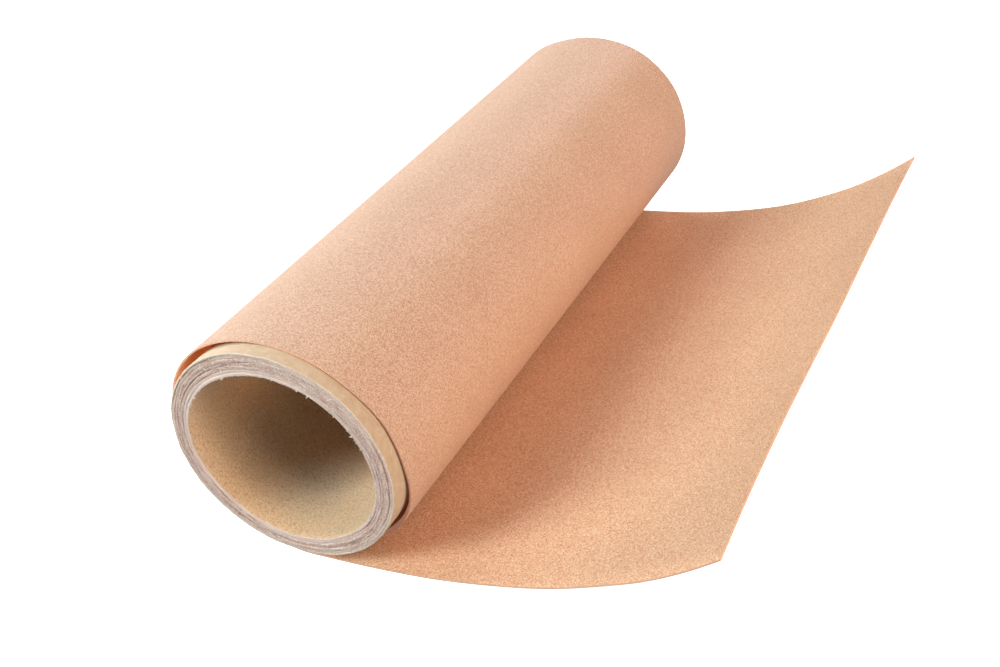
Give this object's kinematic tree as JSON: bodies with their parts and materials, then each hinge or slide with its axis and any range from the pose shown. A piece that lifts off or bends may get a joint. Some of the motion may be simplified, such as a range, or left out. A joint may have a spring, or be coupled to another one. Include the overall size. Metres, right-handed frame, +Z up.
{
  "type": "abrasive paper roll",
  "caption": "Roll of abrasive paper wound loosely on a paperboard core, with a free tail that lies flat and curls up at its end.",
  "frame": {"origin": "on the core's axis, at mid-width of the sheet", "axes": "+Y along the core, away from the end that stands out of the winding; +X from the core towards the free tail; +Z up"},
  "size_m": [0.0828, 0.1174, 0.0385],
  "materials": {
    "grit_coat": "matte, fine abrasive grit",
    "backing_paper": "matte, fine tooth",
    "kraft_liner": "matte kraft with dark specks",
    "core_board": "raw cut recycled board",
    "kraft_wrapper": "smooth kraft"
  },
  "bodies": {
    "winding": {"winding_backing": "backing_paper", "winding_grit": "grit_coat"},
    "core": {"core_liner": "kraft_liner", "core_ply_1": "core_board", "core_ply_2": "core_board", "core_ply_3": "core_board", "core_ply_4": "core_board", "core_ply_5": "core_board", "core_wrapper": "kraft_wrapper"},
    "tail_flat": {"tail_flat_backing": "backing_paper", "tail_flat_grit": "grit_coat"},
    "tail_near": {"tail_near_backing": "backing_paper", "tail_near_grit": "grit_coat"},
    "tail_middle": {"tail_middle_backing": "backing_paper", "tail_middle_grit": "grit_coat"},
    "tail_tip": {"tail_tip_backing": "backing_paper", "tail_tip_grit": "grit_coat"}
  },
  "joints": [
    {"name": "core_spin", "type": "hinge", "parent": "winding", "child": "core", "pos_m": [0, 0, 0], "axis": [0, 1, 0], "continuous": true},
    {"name": "tail_lift", "type": "hinge", "parent": "winding", "child": "tail_flat", "pos_m": [0.01, 0, -0.01945], "axis": [0, -1, 0], "range_deg": [0, 45], "stiffness_Nm_per_rad": 0.012},
    {"name": "tail_curl", "type": "hinge", "parent": "tail_flat", "child": "tail_near", "pos_m": [0.0159, 0, -0.01945], "axis": [0, -1, 0], "range_deg": [-3, 8], "stiffness_Nm_per_rad": 0.012},
    {"name": "tail_curl_middle", "type": "hinge", "parent": "tail_near", "child": "tail_middle", "pos_m": [0.03251, 0, -0.01828], "axis": [0, -1, 0], "range_deg": [-8.3, 22], "stiffness_Nm_per_rad": 0.012},
    {"name": "tail_curl_tip", "type": "hinge", "parent": "tail_middle", "child": "tail_tip", "pos_m": [0.04854, 0, -0.01396], "axis": [0, -1, 0], "range_deg": [-9.9, 26.3], "stiffness_Nm_per_rad": 0.012}
  ],
  "couplings": [
    {"joint": "tail_curl_middle", "follows": "tail_curl", "ratio": 2.74},
    {"joint": "tail_curl_tip", "follows": "tail_curl", "ratio": 3.28}
  ]
}
